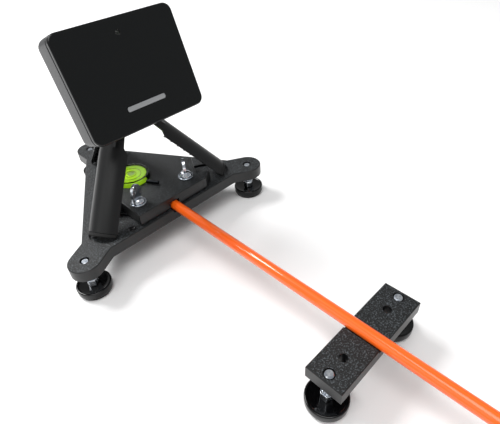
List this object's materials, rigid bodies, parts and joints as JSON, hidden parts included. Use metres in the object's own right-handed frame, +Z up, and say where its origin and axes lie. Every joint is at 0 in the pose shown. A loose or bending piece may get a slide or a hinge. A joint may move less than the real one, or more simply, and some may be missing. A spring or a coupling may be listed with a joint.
{
  "type": "launch monitor",
  "caption": "Golf radar launch monitor tilted on a folding three-leg tripod, seated in a levelling stand with a bullseye level, thumb-screw clamp, alignment rod and front support bar.",
  "frame": {"origin": "on the floor, under the middle of the footprint's bounding box", "axes": "+Z up; the monitor looks along -Y and the alignment rod runs along -Y; the power button and port are on the +X side"},
  "size_m": [0.1842, 0.5794, 0.1666],
  "materials": {
    "sheet": "satin",
    "knob": "gloss",
    "zinc": "gloss",
    "rubber": "matte",
    "rod": "gloss",
    "tripod": "satin",
    "cover": "gloss",
    "housing": "satin",
    "brass": "satin",
    "board": "satin",
    "can": "satin",
    "cell": "satin",
    "clear": "gloss",
    "fluid": "gloss",
    "badge": "satin"
  },
  "bodies": {
    "stand": {"base_plate": "sheet", "insert_left": "brass", "insert_right": "brass"},
    "clamp": {"clamp_plate": "sheet", "level_cup": "clear", "level_fluid": "fluid", "level_lens": "clear", "level_pin": "zinc", "washer_left": "zinc", "washer_right": "zinc"},
    "screw_left": {"thumb_screw_left": "zinc"},
    "screw_right": {"thumb_screw_right": "zinc"},
    "bar": {"support_bar": "sheet"},
    "rod": {"alignment_rod": "rod", "rod_tip": "rubber"},
    "tripod": {"tripod_hub": "tripod", "leg_pin_left": "zinc", "leg_pin_right": "zinc", "leg_pin_back": "zinc", "tilt_pin": "zinc"},
    "head": {"tilt_bracket": "tripod", "mount_screw": "zinc", "tripod_thread": "brass", "rear_housing": "housing", "front_cover": "cover", "cover_seal": "rubber", "led_lens": "clear", "blank_badge": "badge", "main_board": "board", "antenna_board": "board", "radio_shield": "can", "battery": "cell", "usb_socket": "can"},
    "button": {"power_button": "knob"},
    "flap": {"port_flap": "rubber"},
    "leg_left": {"tripod_leg_left": "tripod", "leg_toe_left": "rubber"},
    "leg_right": {"tripod_leg_right": "tripod", "leg_toe_right": "rubber"},
    "leg_back": {"tripod_leg_back": "tripod", "leg_toe_back": "rubber"},
    "pad_left": {"foot_pad_left": "rubber"},
    "foot_left": {"foot_knob_left": "knob", "foot_stud_left": "zinc"},
    "pad_right": {"foot_pad_right": "rubber"},
    "foot_right": {"foot_knob_right": "knob", "foot_stud_right": "zinc"},
    "pad_back": {"foot_pad_back": "rubber"},
    "foot_back": {"foot_knob_back": "knob", "foot_stud_back": "zinc"},
    "pad_bar_left": {"foot_pad_bar_left": "rubber"},
    "foot_bar_left": {"foot_knob_bar_left": "knob", "foot_stud_bar_left": "zinc"},
    "pad_bar_right": {"foot_pad_bar_right": "rubber"},
    "foot_bar_right": {"foot_knob_bar_right": "knob", "foot_stud_bar_right": "zinc"}
  },
  "joints": [
    {"name": "height_left", "type": "slide", "parent": "stand", "child": "pad_left", "axis": [0, 0, -1], "range_m": [-0.0026, 0.0052]},
    {"name": "turn_left", "type": "hinge", "parent": "pad_left", "child": "foot_left", "pos_m": [-0.0794, 0.13944, 0], "axis": [0, 0, -1], "range_deg": [-740, 1480]},
    {"name": "height_right", "type": "slide", "parent": "stand", "child": "pad_right", "axis": [0, 0, -1], "range_m": [-0.0026, 0.0052]},
    {"name": "turn_right", "type": "hinge", "parent": "pad_right", "child": "foot_right", "pos_m": [0.0794, 0.13944, 0], "axis": [0, 0, -1], "range_deg": [-740, 1480]},
    {"name": "height_back", "type": "slide", "parent": "stand", "child": "pad_back", "axis": [0, 0, -1], "range_m": [-0.0026, 0.0052]},
    {"name": "turn_back", "type": "hinge", "parent": "pad_back", "child": "foot_back", "pos_m": [0, 0.27696, 0], "axis": [0, 0, -1], "range_deg": [-740, 1480]},
    {"name": "height_bar_left", "type": "slide", "parent": "bar", "child": "pad_bar_left", "axis": [0, 0, -1], "range_m": [-0.0026, 0.0052]},
    {"name": "turn_bar_left", "type": "hinge", "parent": "pad_bar_left", "child": "foot_bar_left", "pos_m": [-0.033, -0.03486, 0], "axis": [0, 0, -1], "range_deg": [-740, 1480]},
    {"name": "height_bar_right", "type": "slide", "parent": "bar", "child": "pad_bar_right", "axis": [0, 0, -1], "range_m": [-0.0026, 0.0052]},
    {"name": "turn_bar_right", "type": "hinge", "parent": "pad_bar_right", "child": "foot_bar_right", "pos_m": [0.035, -0.03486, 0], "axis": [0, 0, -1], "range_deg": [-740, 1480]},
    {"name": "clamp_lift", "type": "slide", "parent": "stand", "child": "clamp", "axis": [0, 0, 1], "range_m": [0, 0.0026]},
    {"name": "screw_turn_left", "type": "hinge", "parent": "clamp", "child": "screw_left", "pos_m": [-0.023, 0.15294, 0.0415], "axis": [0, 0, 1], "range_deg": [0, 740]},
    {"name": "screw_turn_right", "type": "hinge", "parent": "clamp", "child": "screw_right", "pos_m": [0.023, 0.15294, 0.0415], "axis": [0, 0, 1], "range_deg": [0, 740]},
    {"name": "rod_slide", "type": "slide", "parent": "stand", "child": "rod", "axis": [0, -1, 0], "range_m": [0, 0.028]},
    {"name": "bar_slide", "type": "slide", "parent": "rod", "child": "bar", "axis": [0, -1, 0], "range_m": [-0.149, 0.223]},
    {"name": "tripod_lift", "type": "slide", "parent": "stand", "child": "tripod", "axis": [0, 0, 1], "range_m": [0, 0.16]},
    {"name": "leg_fold_left", "type": "hinge", "parent": "tripod", "child": "leg_left", "pos_m": [-0.00606, 0.18178, 0.0976], "axis": [0.5, -0.866, 0], "range_deg": [0, 41.4]},
    {"name": "leg_fold_right", "type": "hinge", "parent": "tripod", "child": "leg_right", "pos_m": [0.00606, 0.18178, 0.0976], "axis": [0.5, 0.866, 0], "range_deg": [0, 41.4]},
    {"name": "leg_fold_back", "type": "hinge", "parent": "tripod", "child": "leg_back", "pos_m": [0, 0.19228, 0.0976], "axis": [-1, 0, 0], "range_deg": [0, 41.4]},
    {"name": "head_tilt", "type": "hinge", "parent": "tripod", "child": "head", "pos_m": [0, 0.18528, 0.107], "axis": [-1, 0, 0], "range_deg": [-5, 30]},
    {"name": "power_press", "type": "slide", "parent": "head", "child": "button", "axis": [-1, 0, 0], "range_m": [0, 0.0008], "stiffness_N_per_m": 500},
    {"name": "flap_open", "type": "hinge", "parent": "head", "child": "flap", "pos_m": [0.0451, 0.15964, 0.1085], "axis": [0, 0.9348, -0.3551], "range_deg": [0, 110]}
  ],
  "couplings": [
    {"joint": "turn_left", "follows": "height_left", "rad_per_m": 4947.4},
    {"joint": "turn_right", "follows": "height_right", "rad_per_m": 4947.4},
    {"joint": "turn_back", "follows": "height_back", "rad_per_m": 4947.4},
    {"joint": "turn_bar_left", "follows": "height_bar_left", "rad_per_m": 4947.4},
    {"joint": "turn_bar_right", "follows": "height_bar_right", "rad_per_m": 4947.4},
    {"joint": "screw_turn_left", "follows": "clamp_lift", "rad_per_m": 4947.4},
    {"joint": "screw_turn_right", "follows": "clamp_lift", "rad_per_m": 4947.4},
    {"joint": "leg_fold_left", "follows": "tripod_lift", "rad_per_m": 4.516},
    {"joint": "leg_fold_right", "follows": "tripod_lift", "rad_per_m": 4.516},
    {"joint": "leg_fold_back", "follows": "tripod_lift", "rad_per_m": 4.516}
  ]
}
